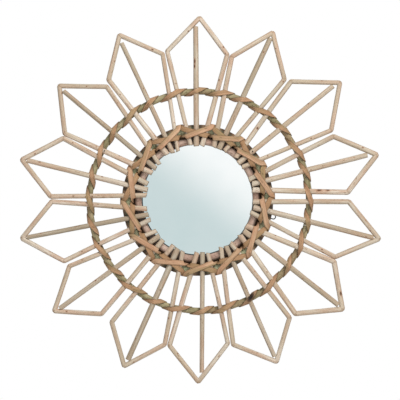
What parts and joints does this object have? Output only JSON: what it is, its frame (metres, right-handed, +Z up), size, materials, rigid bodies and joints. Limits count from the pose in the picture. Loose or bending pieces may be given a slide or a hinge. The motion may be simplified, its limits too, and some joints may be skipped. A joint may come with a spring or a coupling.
{
  "type": "wall mirror",
  "caption": "Round wall mirror set in a flower of bent peeled-willow petals and spokes, lashed with bark strips to two bark-covered hoops.",
  "frame": {"origin": "middle of the back board's rear face, where it meets the wall, behind the middle of the glass", "axes": "+Z up as hung, the glass faces -Y, +X to the viewer's right, +Y into the wall"},
  "size_m": [0.5872, 0.0291, 0.5975],
  "materials": {
    "peeled_willow": "peeled willow rod, dry and matt",
    "bark_strip": "split bark strip, satin",
    "green_bark": "smooth grey-green bark",
    "olive_bark": "smooth olive-brown bark",
    "brown_willow": "pinkish-brown bent willow",
    "silvered_glass": "silvered glass",
    "board": "brown hardboard",
    "wire": "dark annealed wire"
  },
  "bodies": {
    "root": {"back_board": "board", "mirror_glass": "silvered_glass", "glass_ring": "brown_willow", "hub_hoop": "green_bark", "outer_hoop_01": "olive_bark", "outer_hoop_02": "olive_bark", "outer_hoop_03": "olive_bark", "petal_01": "peeled_willow", "petal_02": "peeled_willow", "petal_03": "peeled_willow", "petal_04": "peeled_willow", "petal_05": "peeled_willow", "petal_06": "peeled_willow", "petal_07": "peeled_willow", "petal_08": "peeled_willow", "petal_09": "peeled_willow", "petal_10": "peeled_willow", "petal_11": "peeled_willow", "petal_12": "peeled_willow", "petal_13": "peeled_willow", "petal_14": "peeled_willow", "spoke_01": "peeled_willow", "spoke_02": "peeled_willow", "spoke_03": "peeled_willow", "spoke_04": "peeled_willow", "spoke_05": "peeled_willow", "spoke_06": "peeled_willow", "spoke_07": "peeled_willow", "spoke_08": "peeled_willow", "spoke_09": "peeled_willow", "spoke_10": "peeled_willow", "spoke_11": "peeled_willow", "spoke_12": "peeled_willow", "spoke_13": "peeled_willow", "spoke_14": "peeled_willow", "hub_strip_under": "bark_strip", "hub_strip_over": "bark_strip", "outer_strip": "bark_strip", "hanging_eye": "wire"}
  },
  "joints": []
}
